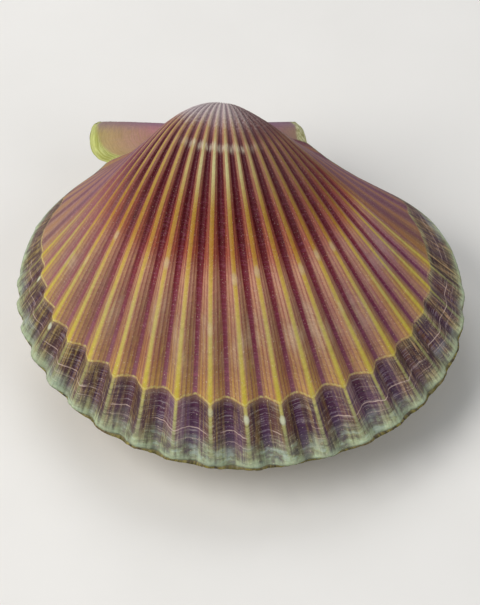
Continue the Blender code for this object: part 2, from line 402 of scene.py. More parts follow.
def valve_blank(name, edge, rib, share, ear, rim_width, rows, up):
    """A valve's closed mesh in a rough shape.

    Its points carry their place on the edge, stage, rib, share, ear, inside and rim.
    """
    stages = stages_of(rows)
    columns = len(edge)
    inner_columns = picked(columns, INNER_COLUMN_STEP)
    inner_rows = picked(rows, INNER_ROW_STEP)[2:]
    inner = inner_edge(edge, rim_width)
    outer_grid = np.arange(rows * columns).reshape(rows, columns)
    start = rows * columns
    inner_grid = start + np.arange(len(inner_rows) * len(inner_columns)).reshape(len(inner_rows), -1)
    centre = inner_grid[-1, -1] + 1
    pole = centre + 1
    tile_rows, tile_columns = (t.ravel() for t in np.meshgrid(inner_rows, inner_columns, indexing="ij"))
    middle_rib = (RIB_COUNT - 1) / 2

    def along_edge(outer_values, inner_values, ends=(0, 0)):
        return np.concatenate([np.tile(outer_values, rows), inner_values[tile_columns], ends])

    carried = {
        "edge_x": along_edge(edge[:, 0], inner[:, 0]),
        "edge_y": along_edge(edge[:, 1], inner[:, 1]),
        "stage": np.concatenate([np.repeat(stages, columns), stages[tile_rows], [FIRST_STAGE, POLE_STAGE]]),
        "rib": along_edge(rib, rib, (middle_rib, middle_rib)),
        "share": along_edge(share, share),
        "ear": along_edge(ear, ear),
        "inside": np.concatenate([np.zeros(start), np.ones(inner_grid.size), [0, 1]]),
        "rim": np.concatenate([np.zeros(start), outer_grid[-1, tile_columns], [0, outer_grid[-1, 0]]]),
    }
    faces = grid_faces(outer_grid) + grid_faces(inner_grid.T)
    faces += [(centre, c + 1, c) for c in range(columns - 1)]
    faces += [(pole, inner_grid[0, c], inner_grid[0, c + 1]) for c in range(len(inner_columns) - 1)]
    for j in range(len(inner_columns) - 1):
        rim = list(outer_grid[-1, inner_columns[j] : inner_columns[j + 1] + 1])
        faces.append(rim + [inner_grid[-1, j + 1], inner_grid[-1, j]])
    for column, inner_column in ((0, 0), (-1, -1)):
        for j in range(len(inner_rows) - 1):
            side = list(outer_grid[inner_rows[j] : inner_rows[j + 1] + 1, column])
            faces.append(side + [inner_grid[j + 1, inner_column], inner_grid[j, inner_column]])
    beak_front = list(outer_grid[: inner_rows[0] + 1, 0])
    beak_rear = list(outer_grid[: inner_rows[0] + 1, -1])
    faces.append(beak_front[::-1] + [centre, pole, inner_grid[0, 0]])
    faces.append([centre] + beak_rear + [inner_grid[0, -1], pole])
    height = (1 - carried["stage"]) * (0.3 - 0.1 * carried["inside"]) * (1 if up else -1)
    x = carried["stage"] * carried["edge_x"]
    y = carried["stage"] * carried["edge_y"] + carried["inside"] * HINGE_PLATE
    points = np.stack([x, -y, height], axis=-1).tolist()
    mesh = bpy.data.meshes.new(name)
    mesh.from_pydata(points, [], [tuple(int(i) for i in face) for face in faces])
    for key, values in carried.items():
        mesh.attributes.new(key, "FLOAT", "POINT").data.foreach_set("value", values.astype(np.float32))
    face_outwards(mesh)
    return in_scene(name, mesh)


def face_outwards(mesh):
    """Turns the faces of a closed mesh outwards, and shades them smoothly."""
    shape = bmesh.new()
    shape.from_mesh(mesh)
    bmesh.ops.recalc_face_normals(shape, faces=shape.faces)
    if shape.calc_volume(signed=True) < 0:
        bmesh.ops.reverse_faces(shape, faces=shape.faces)
    shape.to_mesh(mesh)
    shape.free()
    for polygon in mesh.polygons:
        polygon.use_smooth = True


# Growth, as a Geometry Nodes tree

GROWTH_INPUTS = {
    "Shell Height": SHELL_HEIGHT,
    "Turn Rate": TURN_RATE,
    "Turn Slowing": TURN_SLOWING,
    "Turn Share": 1.0,
    "Side": 1.0,
    "Cavity": UPPER_CAVITY,
    "Umbo": 1.0,
    "Depth": 1.0,
    "Valve Gap": VALVE_GAP,
    "Hinge Plate": HINGE_PLATE,
    "Rib Height": RIB_HEIGHT,
    "Rib Lead": RIB_LEAD,
    "Rib Unevenness": 0.10,
    "Rib Wander": 0.05,
    "Stria Height": 0.00035,
    "Growth Line Height": 0.0007,
    "Growth Step": 0.0016,
    "Growth Line Curve": 0.013,
    "Line Raggedness": 0.010,
    "Edge Chips": 0.0070,
    "Edge Reach": 0.0,
    "Hinge Jags": 0.006,
    "Seed": 7.0,
}

LOWER_SIZES = {
    "Side": -1.0,
    "Turn Share": LOWER_TURN,
    "Cavity": LOWER_CAVITY,
    "Umbo": 0.0,
    "Depth": LOWER_DEPTH,
    "Rib Unevenness": 0.0,
    "Rib Wander": 0.0,
    "Stria Height": 0.0001,
    "Growth Line Height": 0.0002,
    "Edge Reach": 0.0055,
}


def attribute(maker, name):
    values = {"Name": name}
    return maker.node("GeometryNodeInputNamedAttribute", {"data_type": "FLOAT"}, values)


def kept(maker, geometry, name, value):
    values = {"Geometry": geometry, "Name": name, "Value": value}
    return maker.node("GeometryNodeStoreNamedAttribute", {"data_type": "FLOAT", "domain": "POINT"}, values)


def moved_along_normals(maker, geometry, inside, height, outwards):
    """The outer surface pushed out by a height, along normals that leave out the rim and the inner surface.

    Where outwards is -1 the level part of the move is turned round.
    """
    outside = 1.0 - inside
    values = {"Geometry": geometry, "Selection": outside}
    outer = maker.node("GeometryNodeSeparateGeometry", {"domain": "POINT"}, values)
    normal = maker.node("GeometryNodeInputNormal")
    index = maker.node("GeometryNodeInputIndex")
    settings = {"data_type": "FLOAT_VECTOR", "domain": "POINT", "clamp": True}
    values = {"Geometry": outer, "Value": normal, "Index": index}
    sampled = maker.node("GeometryNodeSampleIndex", settings, values)
    level = maker.vector(outwards, outwards, 1.0)
    offset = maker.node("ShaderNodeVectorMath", {"operation": "MULTIPLY"}, {0: sampled, 1: level})
    values = {0: offset, "Scale": height * outside}
    offset = maker.node("ShaderNodeVectorMath", {"operation": "SCALE"}, values)
    return maker.node("GeometryNodeSetPosition", None, {"Geometry": geometry, "Offset": offset})


def growth_tree():
    tree = bpy.data.node_groups.new("shell growth", "GeometryNodeTree")
    tree.interface.new_socket("Geometry", in_out="INPUT", socket_type="NodeSocketGeometry")
    for name, value in GROWTH_INPUTS.items():
        socket = tree.interface.new_socket(name, in_out="INPUT", socket_type="NodeSocketFloat")
        socket.default_value = value
    tree.interface.new_socket("Material", in_out="INPUT", socket_type="NodeSocketMaterial")
    tree.interface.new_socket("Geometry", in_out="OUTPUT", socket_type="NodeSocketGeometry")
    maker = Maker(tree)
    given = tree.nodes.new("NodeGroupInput")
    sizes = {name: Value(maker, given.outputs[name]) for name in GROWTH_INPUTS}
    side_sign = sizes["Side"]
    seed = sizes["Seed"]
    names = ("edge_x", "edge_y", "stage", "rib", "share", "ear", "inside")
    edge_x, edge_y, stage, rib, share, ear, inside = (attribute(maker, name) for name in names)
    outside = 1.0 - inside
    geometry = Value(maker, given.outputs["Geometry"])

    angle = edge_x.math("ARCTAN2", edge_y.math("MAXIMUM", 1e-6))
    side = (angle / LIFT_SPAN).clamped(-LIFT_END, LIFT_END)

    # The ribs wander a little from their lines, and no two are quite as high.
    wander = maker.noise(maker.vector(rib * 0.35, stage * 3.0, seed), 1.0) - 0.5
    wander = wander * 2.0 * sizes["Rib Wander"]
    phase = rib + wander * stage.smooth(0.05, 0.4)
    around = phase * (2 * math.pi)
    wave = around.math("COSINE") + RIB_SHARPNESS * (1.0 - (around * 2.0).math("COSINE"))
    uneven = maker.noise(maker.vector(rib * 0.8, stage * 4.0, seed + 5.0), 1.0) - 0.5
    wave = wave * share * (1.0 + 2.0 * sizes["Rib Unevenness"] * uneven) * side_sign

    # The growth age: the strong growth line is at one age all round, and points outwards on every crest.
    bearing = angle / LIFT_SPAN
    line_stage = side.polynomial(GROWTH_LINE) + LINE_RISE_IN_FRONT * (-bearing).smooth(0.82, 1.0)
    line_stage = line_stage + LINE_RISE_AT_EARS * bearing.math("ABSOLUTE").smooth(1.07, 1.19)
    line_stage = line_stage.math("MINIMUM", GROWTH_LINE_LATEST)
    before = stage / line_stage * GROWTH_STAGE
    after = 1.0 - (1.0 - stage) / (1.0 - line_stage) * (1 - GROWTH_STAGE)
    age = before + (after - before) * (stage - line_stage).smooth(-0.01, 0.01)
    cusp = 1.0 - (phase.math("PINGPONG", 0.5) * math.pi).math("SINE")
    cusp = cusp * (0.25 + 0.75 * share) * stage.smooth(0.1, 0.3)
    cusp = cusp * (1.0 - 0.6 * stage.smooth(0.92, 1.0))
    cusp = cusp * (1.0 - 0.8 * bearing.math("ABSOLUTE").smooth(0.45, 0.85))
    age = age - sizes["Growth Line Curve"] * cusp
    ragged = maker.noise(maker.vector(rib * 4.0, stage * 6.0, seed + 1.0), 1.0, 3.0, 0.65) - 0.5
    age = age + sizes["Line Raggedness"] * ragged * stage.smooth(0.3, 0.6)

    # The plain surfaces: the edge at each stage of growth.
    grown = -stage.math("LOGARITHM", math.e)
    turn = (sizes["Turn Rate"] * grown + sizes["Turn Slowing"] * grown * grown) * sizes["Turn Share"]
    inner_turn = (turn / STEEPEST).math("TANH") * STEEPEST
    turn = turn + (inner_turn - turn) * inside
    widening = side.polynomial(WIDENING)
    low = 1.0 - stage.smooth(UMBO_START, UMBO_LOW[1])
    wide = 1.0 - stage.smooth(UMBO_START, UMBO_WIDE[1])
    full = wide * (UMBO_WIDE[0] * side * side + UMBO_LEAN * side) * (1.0 - ear)
    umbo = 1.0 + sizes["Umbo"] * (full - UMBO_LOW[0] * low)
    lift = side.polynomial(UPPER_LIFT) * umbo * (1.0 - (1 - EAR_LIFT) * ear)
    lift = lift * (1.0 + (sizes["Cavity"] - 1.0) * inside) * sizes["Depth"]
    outwards = 1.0 - (1.0 - side_sign) * stage.smooth(0.94, 1.0)
    lead = 1.0 + sizes["Rib Lead"] * wave * outwards * (stage * 2.0).math("MINIMUM", 1.0) * outside
    chips = maker.noise(maker.vector(rib * 3.1, seed, 0.0), 1.0, 5.0, 0.7) - 0.5
    lead = lead + chips * 2.0 * sizes["Edge Chips"] * stage.smooth(0.965, 1.0) * outside
    shows = 0.0
    for middle, width in LOWER_EDGE_SHOWS:
        shows = shows + (1.0 - (rib - middle).math("ABSOLUTE").smooth(width * 0.6, width))
    shows = shows * (0.2 + 1.6 * maker.noise(maker.vector(rib * 1.7, seed + 9.0, 0.0), 1.0, 4.0, 0.6))
    lead = lead + sizes["Edge Reach"] * shows * stage.smooth(0.93, 1.0) * outside
    x = stage**widening * edge_x * lead
    y = stage * edge_y * lead * turn.math("COSINE") + sizes["Hinge Plate"] * inside
    z = stage * edge_y * lead * turn.math("SINE") * lift
    thick = ear * EAR_THICKNESS * (stage * edge_y).smooth(0.0, 0.02)
    z = z + thick * (1.0 - stage.smooth(0.95, 1.0))
    by_hinge = 1.0 - (edge_y * stage).smooth(0.0, 0.06)
    front = (-edge_x * stage).smooth(0.10, 0.30) * by_hinge * outside
    jags = maker.noise(maker.vector(stage * 60.0, seed + 3.0), 1.0, 3.0, 0.6) - 0.5
    y = y - (EAR_FORWARD + sizes["Hinge Jags"] * jags) * front
    plain = maker.vector(x, -y, z * side_sign)
    geometry = maker.node("GeometryNodeSetPosition", None, {"Geometry": geometry, "Position": plain})

    # Ribs, then the finer relief on them.
    rib_height = sizes["Rib Height"] * wave * stage * (stage / RIB_START).math("MINIMUM", 1.0)
    geometry = moved_along_normals(maker, geometry, inside, rib_height, outwards)
    stria = (phase * (2 * math.pi * STRIAE)).math("COSINE") * stage.smooth(0.3, 0.6)
    stria = stria * phase.math("PINGPONG", 0.5).smooth(0.06, 0.12) * sizes["Stria Height"]
    lines = maker.noise(maker.vector(age * 34.0, seed, 0.0), 1.0, 3.0, 0.6) - 0.5
    lines = lines * 2.0 * sizes["Growth Line Height"] * stage.smooth(0.1, 0.5)
    step = -sizes["Growth Step"] * age.smooth(GROWTH_STAGE - 0.004, GROWTH_STAGE + 0.004)
    step = step * (1.0 - stage.smooth(0.93, 1.0)) * edge_y.smooth(0.05, 0.3)
    away = 1.0 - stage.smooth(0.985, 1.0)
    geometry = moved_along_normals(maker, geometry, inside, (stria + lines + step) * away, 1.0)

    # The rim of the inner surface follows the ribs of the edge.
    index = attribute(maker, "rim")
    position = maker.node("GeometryNodeInputPosition")
    settings = {"data_type": "FLOAT_VECTOR", "domain": "POINT"}
    values = {"Geometry": geometry, "Value": position, "Index": index}
    rim = maker.node("GeometryNodeSampleIndex", settings, values)
    rim_height = maker.node("ShaderNodeSeparateXYZ", None, {0: rim}, 2)
    near_rim = (0.35 * stage + 0.65 * (2.0 * stage - 1.0).math("MAXIMUM", 0.0)).math("MINIMUM", 1.0)
    rise = maker.vector(0.0, 0.0, rim_height * near_rim * inside + side_sign * sizes["Valve Gap"] * 0.5)
    geometry = maker.node("GeometryNodeSetPosition", None, {"Geometry": geometry, "Offset": rise})

    for name, value in (("age", age), ("rib", phase), ("side", side)):
        geometry = kept(maker, geometry, name, value)
    size = maker.vector(sizes["Shell Height"], sizes["Shell Height"], sizes["Shell Height"])
    tip = (TIP_FORWARD, TIP_SIDEWAYS, 0.0)
    for move, amount in (("Scale", size), ("Rotation", tip), ("Translation", BEAK)):
        geometry = maker.node("GeometryNodeTransform", None, {"Geometry": geometry, move: amount})
    geometry = maker.node("GeometryNodeRealizeInstances", None, {"Geometry": geometry})
    material = Value(maker, given.outputs["Material"])
    geometry = maker.node("GeometryNodeSetMaterial", None, {"Geometry": geometry, "Material": material})
    end = tree.nodes.new("NodeGroupOutput")
    tree.links.new(geometry.socket, end.inputs["Geometry"])
    return tree


def grow(piece, tree, sizes, material):
    """Works out a piece's growth and makes it a plain mesh."""
    modifier = piece.modifiers.new("growth", "NODES")
    modifier.node_group = tree
    sockets = {s.name: s.identifier for s in tree.interface.items_tree if s.in_out == "INPUT"}
    for name, value in sizes.items():
        modifier[sockets[name]] = value
    modifier[sockets["Material"]] = material
    bpy.context.view_layer.update()
    evaluated = piece.evaluated_get(bpy.context.evaluated_depsgraph_get())
    result = bpy.data.meshes.new_from_object(evaluated)
    result.name = piece.name
    blank = piece.data
    piece.modifiers.clear()
    piece.data = result
    bpy.data.meshes.remove(blank)
    face_outwards(result)


# Materials

# Colours by growth age, from the beak at 0 to the edge at 1
CREST_COLOURS = (
    (0.0, "d6c8c8"), (0.22, "c8b8b0"), (0.30, "b0925a"), (0.42, "ac9050"), (0.53, "a07a34"), (0.60, "a87a38"),
    (0.66, "bea052"), (0.76, "b2a260"), (0.86, "bca84a"),
)
FLANK_COLOURS = (
    (0.0, "d0c2c6"), (0.22, "bcaaa6"), (0.30, "a87c60"), (0.42, "986a54"), (0.52, "8c4a3c"), (0.61, "9e5644"),
    (0.655, "b88870"), (0.74, "a0785e"), (0.82, "9c744c"), (0.87, "b69058"),
)
LEFT_FLANK_COLOURS = (
    (0.40, "84505c"), (0.50, "744048"), (0.60, "8a4e34"), (0.67, "8a5034"), (0.75, "a48460"),
    (0.87, "a89060"),
)
RIGHT_FLANK_COLOURS = (
    (0.42, "784830"), (0.52, "6c3020"), (0.60, "88482c"), (0.66, "a8784c"), (0.8, "703e2a"),
)
GROOVE_COLOURS = (
    (0.0, "c4b4bc"), (0.22, "a0888e"), (0.30, "7c4c50"), (0.38, "541624"), (0.48, "540c18"), (0.58, "54080f"),
    (0.66, "742830"), (0.78, "6c2c3c"), (0.87, "7c4c58"),
)
RIGHT_GROOVE_COLOURS = ((0.55, "762a34"), (0.66, "80404c"), (0.8, "5c2c50"))
BAND_CREST_COLOURS = ((0.87, "c4b860"), (0.91, "a8a468"), (0.95, "888862"), (1.0, "a8b48c"))
BAND_GROOVE_COLOURS = (
    (0.87, "481c34"), (0.93, "462440"), (0.965, "4c3c54"), (0.985, "5a5a64"), (1.0, "4c5048"),
)
SHOULDER_COLOURS = ((0.2, "8a6460"), (0.5, "744648"), (0.75, "7c5048"), (0.9, "84643e"))
LEFT_SHOULDER_COLOURS = ((0.45, "8c6070"), (0.7, "9c7074"), (0.86, "ac8878"))
LOWER_COLOURS = ((0.1, "c4b6aa"), (0.45, "c0a08c"), (0.7, "b59278"), (0.88, "9c9262"), (1.0, "8a8440"))

# Colours of the ears from the beak to their ends, and of the cloudy zone from dark to pale
EAR_COLOURS = ((0.3, "a06c78"), (0.60, "b07c7c"), (0.75, "b08a78"), (0.88, "b0966c"), (1.0, "b4a870"))
CLOUD_COLOURS = ((0.38, "463a44"), (0.46, "786c58"), (0.53, "949c74"), (0.60, "b8c8b4"))
INSIDE_COLOUR = "c9b9ad"


def new_material(name):
    made = bpy.data.materials.new(name)
    made.use_nodes = True
    shader = made.node_tree.nodes["Principled BSDF"]
    return made, Maker(made.node_tree), shader


def link(maker, value, socket):
    maker.tree.links.new(value.socket, socket)


class Pattern:
    """What a valve's colours follow: places across a rib, growth age, and noise drawn out along both."""

    def __init__(self, maker):
        self.maker = maker
        self.rib = self.attribute("rib")
        self.age = self.attribute("age")
        self.stage = self.attribute("stage")
        self.share = self.attribute("share")
        self.side = self.attribute("side")
        self.ear = self.attribute("ear")
        self.inside = self.attribute("inside")
        self.hair = self.drawn_out(18.0, 2.5, 0.0)
        self.streak = self.drawn_out(6.0, 5.0, 3.0)
        self.patch = self.drawn_out(0.6, 8.0, 5.0)
        self.lines = self.drawn_out(0.8, 190.0, 7.0, 2.0)
        self.grain = self.drawn_out(7.0, 110.0, 9.0, 3.0, 0.65)
        self.dashes = self.drawn_out(13.0, 24.0, 11.0)
        self.beads = self.drawn_out(1.5, 300.0, 17.0, 1.0, 0.5)
        self.specks = self.drawn_out(24.0, 320.0, 13.0, 1.0, 0.5)
        self.tone = self.drawn_out(0.9, 3.0, 15.0, 2.0, 0.5)
        self.beside = self.rib.math("PINGPONG", 0.5)
        self.across = self.beside + (self.hair - 0.5) * 0.045
        self.drift = self.age + (self.patch - 0.5) * 0.04
        self.ribbed = self.share.smooth(0.03, 0.32)
        self.left = (-self.side).smooth(0.2, 0.9)
        self.right = self.side.smooth(0.2, 0.9)

    def attribute(self, name):
        return self.maker.node("ShaderNodeAttribute", {"attribute_name": name}, None, 2)

    def drawn_out(self, by_rib, by_age, place, detail=3.0, roughness=0.6):
        """Noise that changes so many times from rib to rib and from the beak to the edge."""
        point = self.maker.vector(self.rib * by_rib, self.age * by_age, place)
        return self.maker.noise(point, 1.0, detail, roughness)

    def worn_spots(self, stage, spread, length, width, amount):
        """Worn spots on the crests of some ribs, near one stage of growth."""
        maker = self.maker
        number = self.rib.math("ROUND")
        place = maker.noise(maker.vector(number * 5.3, stage * 90.0), 1.0, 0.0)
        chosen = maker.noise(maker.vector(number * 3.7, stage * 50.0), 1.0, 0.0)
        chosen = chosen.smooth(0.62 - amount, 0.66 - amount)
        along = (self.stage - stage - (place - 0.5) * spread) / length
        sideways = self.beside / width
        away = along * along + sideways * sideways + (self.grain - 0.5) * 1.6
        return chosen * (1.0 - away.smooth(0.0, 1.5)) * self.ribbed

    def finish(self, shader, colour, depth):
        """Sets the shader's colour, roughness and fine relief."""
        maker = self.maker
        value = 0.62 + self.grain * 0.44 + self.lines * 0.30
        tone = {"Color": colour, "Value": value, "Saturation": 0.95 + self.streak * 0.2}
        link(maker, maker.node("ShaderNodeHueSaturation", None, tone), shader.inputs["Base Color"])
        link(maker, 0.42 + self.grain * 0.26, shader.inputs["Roughness"])
        shader.inputs["Specular IOR Level"].default_value = 0.28
        height = self.lines * 0.5 + self.grain * 0.35 + self.dashes * 0.15
        bump = maker.node("ShaderNodeBump", None, {"Height": height, "Strength": depth, "Distance": 0.0005})
        link(maker, bump, shader.inputs["Normal"])


def disc_crest(p):
    """Gold, browner on the right before the middle of growth, and greenish in the middle near the beak."""
    crest = p.drift.ramp(CREST_COLOURS)
    crest = crest.tint(p.right * 0.8 * p.age.smooth(0.64, 0.54), "7c5018")
    crest = crest.tint(p.left * 0.6 * p.age.peak(0.65, 0.09), "a87834")
    middle = 1.0 - (p.side - 0.05).math("ABSOLUTE").smooth(0.08, 0.35)
    return crest.tint(middle * p.drift.peak(0.40, 0.12) * 0.65, "c6c694")


def disc_groove(p):
    """Wine red, paler on the left."""
    groove = p.drift.ramp(GROOVE_COLOURS)
    groove = groove.blend(p.right * 0.4, p.drift.ramp(RIGHT_GROOVE_COLOURS))
    return groove.tint(p.left * 0.6 * p.age.smooth(0.46, 0.58), "aa7a74")


def disc_flank(p, late):
    """Orange brown and pink between crest and groove, in two tones towards the sides."""
    flank = p.drift.ramp(FLANK_COLOURS)
    flank = flank.tint(p.tone.smooth(0.5, 0.75) * 0.4 * late, "a08446")
    flank = flank.tint(p.tone.smooth(0.45, 0.25) * 0.4 * late, "a4645c")
    flank = flank.blend(p.left * 0.6, p.drift.ramp(LEFT_FLANK_COLOURS))
    flank = flank.blend(p.right * 0.5, p.drift.ramp(RIGHT_FLANK_COLOURS))
    from_middle = p.side.math("ABSOLUTE")
    golden = p.age.smooth(0.78, GROWTH_STAGE) * from_middle.smooth(0.35, 0.75)
    flank = flank.tint(golden * 0.45, "b4943c")
    two_toned = p.across.smooth(0.10, 0.34).between("b89850", "9c6c80")
    return flank.blend(from_middle.smooth(0.15, 0.7) * late * 0.4, two_toned)


def beak_tints(p, colour):
    """The right side is darkened with painted shade before the middle of growth; near the beak the right side
    is darker still, and the left side paler and chalky.
    """
    rightwards = p.side.smooth(0.05, 0.5)
    early = 1.0 - p.age.smooth(0.42, 0.62)
    # Painted shade: the right side, before the middle of growth, is darkened as if turned away from the
    # light.
    colour = colour.tint(early * rightwards * 0.35, "4c2628")
    beak = 1.0 - p.age.smooth(0.30, 0.38)
    colour = colour.tint(beak * rightwards * 0.75, "50202a")
    tip = 1.0 - p.age.smooth(0.23, 0.29)
    colour = colour.tint(tip * (-p.side).smooth(0.1, 0.5) * 0.45, "c8bcc4")
    chalky = (p.grain * 0.6 + p.hair * 0.4).smooth(0.46, 0.58) * (1.0 - p.drift.smooth(0.25, 0.34))
    colour = colour.tint(chalky * (1.0 - 0.9 * p.right) * 0.5, "d8ccca")
    mauve = (-p.side).smooth(0.6, 0.95) * (1.0 - p.age.smooth(0.55, 0.86))
    return colour.tint(mauve * 0.5, "84506a")


def main_disc(p):
    """Golden crests, wine grooves and striped flanks, up to the strong growth line."""
    late = p.age.smooth(0.5, 0.78)
    crest = disc_crest(p)
    flank = disc_flank(p, late)
    groove = disc_groove(p)
    near_crest = 1.0 - (p.across - 0.05 * (1.0 - late)).smooth(0.03, 0.09)
    near_groove = (p.across - 0.14 * late).smooth(0.25, 0.32)
    stripes = (p.rib * (2 * math.pi * STRIAE)).math("COSINE") + (p.hair - 0.5) * 2.2
    stripes = stripes.smooth(0.1, 0.9) * p.age.smooth(0.3, 0.6)
    body = flank.blend(stripes * (0.75 - 0.35 * p.right), flank.blend(0.75, groove))
    body = body.blend(p.dashes.smooth(0.55, 0.7) * 0.35, crest)
    body = body.blend(p.hair.smooth(0.44, 0.34) * 0.35, groove)
    cream = (p.patch * 0.6 + p.streak * 0.4).smooth(0.50, 0.62) * p.age.peak(0.75, 0.12)
    body = body.tint(cream * 0.45, "c4b096")
    mauve = (p.tone * 0.4 + p.patch * 0.3 + p.streak * 0.3).smooth(0.47, 0.56)
    body = body.tint(mauve * p.age.smooth(0.5, 0.7) * 0.5 * p.right, "80506c")

    # Fine pale beads lie across the bottom of each groove.
    beads = p.beads.smooth(0.5, 0.66) * p.age.smooth(0.35, 0.6)
    beaded = groove.tint(beads * 0.22, "a45c78")
    colour = body.blend(near_groove * p.ribbed, beaded)
    colour = colour.blend(near_crest * p.ribbed, crest)
    return beak_tints(p, colour)


def band_ground(p, left, right, paler):
    """Dark violet or brown, then grey green."""
    dark = p.tone.smooth(0.35, 0.6).between("402430", "664860")
    dark = dark.tint(p.streak.smooth(0.48, 0.62) * 0.45, "745040")
    dark = dark.tint(left * 0.75, "48302c")
    dark = dark.tint(right * 0.6, "2c1c1c")
    pale = p.tone.smooth(0.4, 0.6).between("606852", "56525c")
    return dark.blend(paler, pale.tint(p.right * 0.5, "5c5044"))


def band_threads(p, left, right, paler):
    """The colour of the fine threads along the ribs."""
    light = p.tone.smooth(0.4, 0.6).between("8c7448", "90787a")
    light_right = p.dashes.smooth(0.45, 0.6).between("8c7848", "ac8c6c")
    light = light.blend(right * 0.7, light_right)
    light = light.tint(left * 0.75, "a08c54")
    late = p.patch.smooth(0.4, 0.6).between("b4b88c", "a0b8a4")
    return light.blend(paler, late.tint(p.right * 0.6, "b0a468"))


def band_crest(p, left, right, paler):
    """Yellow at the growth line, then grey green."""
    crest = p.drift.ramp(BAND_CREST_COLOURS)
    crest = crest.tint(right * 0.5 * (1.0 - paler), "5c5438")
    return crest.tint(left * 0.5 * (1.0 - paler), "605838")


def band_groove(p, left, right, paler):
    """Violet, streaked with brown on the sides."""
    groove = p.drift.ramp(BAND_GROOVE_COLOURS)
    streaked = p.hair.smooth(0.42, 0.6).between("3c2028", "80603c")
    groove = groove.blend((left * 0.65 + right * 0.6) * (1.0 - paler), streaked)
    return groove.tint(p.beads.smooth(0.5, 0.66) * 0.35, "8a7490")


def lines_across(p, colour):
    """Grey blots, fine pale and dark lines and a wavy pink line across the ribs."""
    blots = p.patch.smooth(0.52, 0.64) * p.age.smooth(0.945, 0.965)
    colour = colour.tint(blots * 0.4, "8e9aa0")
    fine = (p.beads * 0.6 + p.lines * 0.4).smooth(0.53, 0.60) * p.streak.smooth(0.35, 0.55)
    colour = colour.tint(fine * 0.18, "c0bca8")
    colour = colour.tint(p.lines.smooth(0.44, 0.34) * 0.45, "3c3038")
    wavy = p.age.peak(0.936, 0.0018) + p.age.peak(0.957, 0.0013) * 0.5
    wavy = wavy * 0.75 * (p.tone + p.streak * 0.3).smooth(0.54, 0.64)
    return colour.tint(wavy, "d2bab0")


def edge_band(p):
    """Past the growth line: dark violet, then pale green, streaked along the ribs and lined across."""
    left = (-p.side).smooth(0.05, 0.5)
    right = p.side.smooth(0.3, 0.75)
    paler = p.drift + (p.streak - 0.5) * 0.07 - 0.006 * left - 0.016 * right
    paler = paler.smooth(0.935, 0.995)
    threads = p.hair * 0.55 + p.dashes * 0.45 + paler * 0.05
    threads = threads.smooth(0.45, 0.63) * (0.75 + 0.2 * left + 0.2 * right)
    zone = (p, left, right, paler)
    colour = band_ground(*zone).blend(threads, band_threads(*zone))
    near_groove = p.across.smooth(0.36, 0.43) * (1.0 - 0.3 * paler)
    colour = colour.blend(near_groove * p.ribbed, band_groove(*zone))
    near_crest = 1.0 - p.across.smooth(0.015, 0.075)
    colour = colour.blend(near_crest * p.ribbed * 0.9, band_crest(*zone))
    colour = lines_across(p, colour)

    # The freshest growth after the line is paler, first narrow, then wider on the far right.
    newest = (p.age + p.hair * 0.01).smooth(GROWTH_STAGE + 0.022, GROWTH_STAGE + 0.006) * (1.0 - right)
    colour = colour.tint(newest * 0.35, "a88c70")
    fresh = (p.drift + p.hair * 0.02).smooth(GROWTH_STAGE + 0.036, GROWTH_STAGE + 0.010)
    fresh = fresh * p.side.smooth(0.5, 0.85)
    colour = colour.tint(fresh * (0.1 + 0.75 * p.hair.smooth(0.42, 0.6)), "b4b07c")

    # A cloudy pale zone, and a chalky rim with a painted highlight along it
    cloudy = p.drawn_out(2.5, 60.0, 19.0).ramp(CLOUD_COLOURS)
    cloudy = cloudy.tint(0.4 * left + 0.3 * right, "aaa868")
    colour = colour.blend(paler * (0.55 - 0.2 * left - 0.2 * right), cloudy)
    # Painted highlight: the pale tint along the outermost edge, partly the chalky rim itself.
    rim = (p.stage + (p.dashes - 0.5) * 0.03).smooth(0.983, 0.997) * (1.0 - near_groove * 0.8)
    return colour.tint(rim * 0.5, "b4c4a4")


def bare_shoulder(p):
    """The shoulders, past the last ribs: brown and mauve, with low riblets."""
    shoulder = p.drift.ramp(SHOULDER_COLOURS)
    shoulder = shoulder.tint(p.side.smooth(0.95, 1.06) * 0.6, "74485c")
    left = (-p.side).smooth(0.0, 0.3)
    shoulder = shoulder.blend(left * 0.7, p.drift.ramp(LEFT_SHOULDER_COLOURS))
    blotches = (p.tone * 0.5 + p.streak * 0.5).smooth(0.48, 0.6)
    shoulder = shoulder.tint(blotches * 0.45, "7c4c66")
    riblets = (p.rib * (2 * math.pi * SHOULDER_RIBLETS)).math("COSINE") + (p.hair - 0.5) * 1.6
    shoulder = shoulder.tint(riblets.smooth(-0.3, -0.9) * 0.45, "a87c44")
    return shoulder.tint(riblets.smooth(0.2, 0.9) * 0.65, "5c2c4c")


def wear_and_painted_glints(p, colour):
    """A painted highlight in a pale row near the beak, worn spots on the crests, and scattered specks, the
    pale ones painted glints.
    """
    # Painted highlight: a pale band across the ribs near the beak.
    row = (p.stage + (p.dashes - 0.5) * 0.05).peak(0.368, 0.018)
    row = row * (1.0 - p.side.math("ABSOLUTE").smooth(0.15, 0.5)) * p.streak.smooth(0.35, 0.6)
    colour = colour.tint(row * 0.7, "d4ccb4")
    early = p.worn_spots(stage=0.650, spread=0.05, length=0.013, width=0.13, amount=0.06)
    later = p.worn_spots(stage=0.755, spread=0.06, length=0.014, width=0.09, amount=0.0)
    colour = colour.tint(early * 0.5 + later * 0.35, "ccb49a")
    outer = p.worn_spots(stage=0.914, spread=0.055, length=0.009, width=0.085, amount=0.15)
    colour = colour.tint(outer * (0.8 - 0.8 * p.side.smooth(0.3, 0.6)), "c8ccb4")
    # Painted glints: the pale specks; the dark specks below are small pits.
    pale = p.specks.smooth(0.64, 0.74) * 0.45 * p.age.smooth(0.2, 0.4)
    colour = colour.tint(pale, "d8c8b0")
    return colour.tint(p.specks.smooth(0.30, 0.22) * 0.5, "3a1c1c")


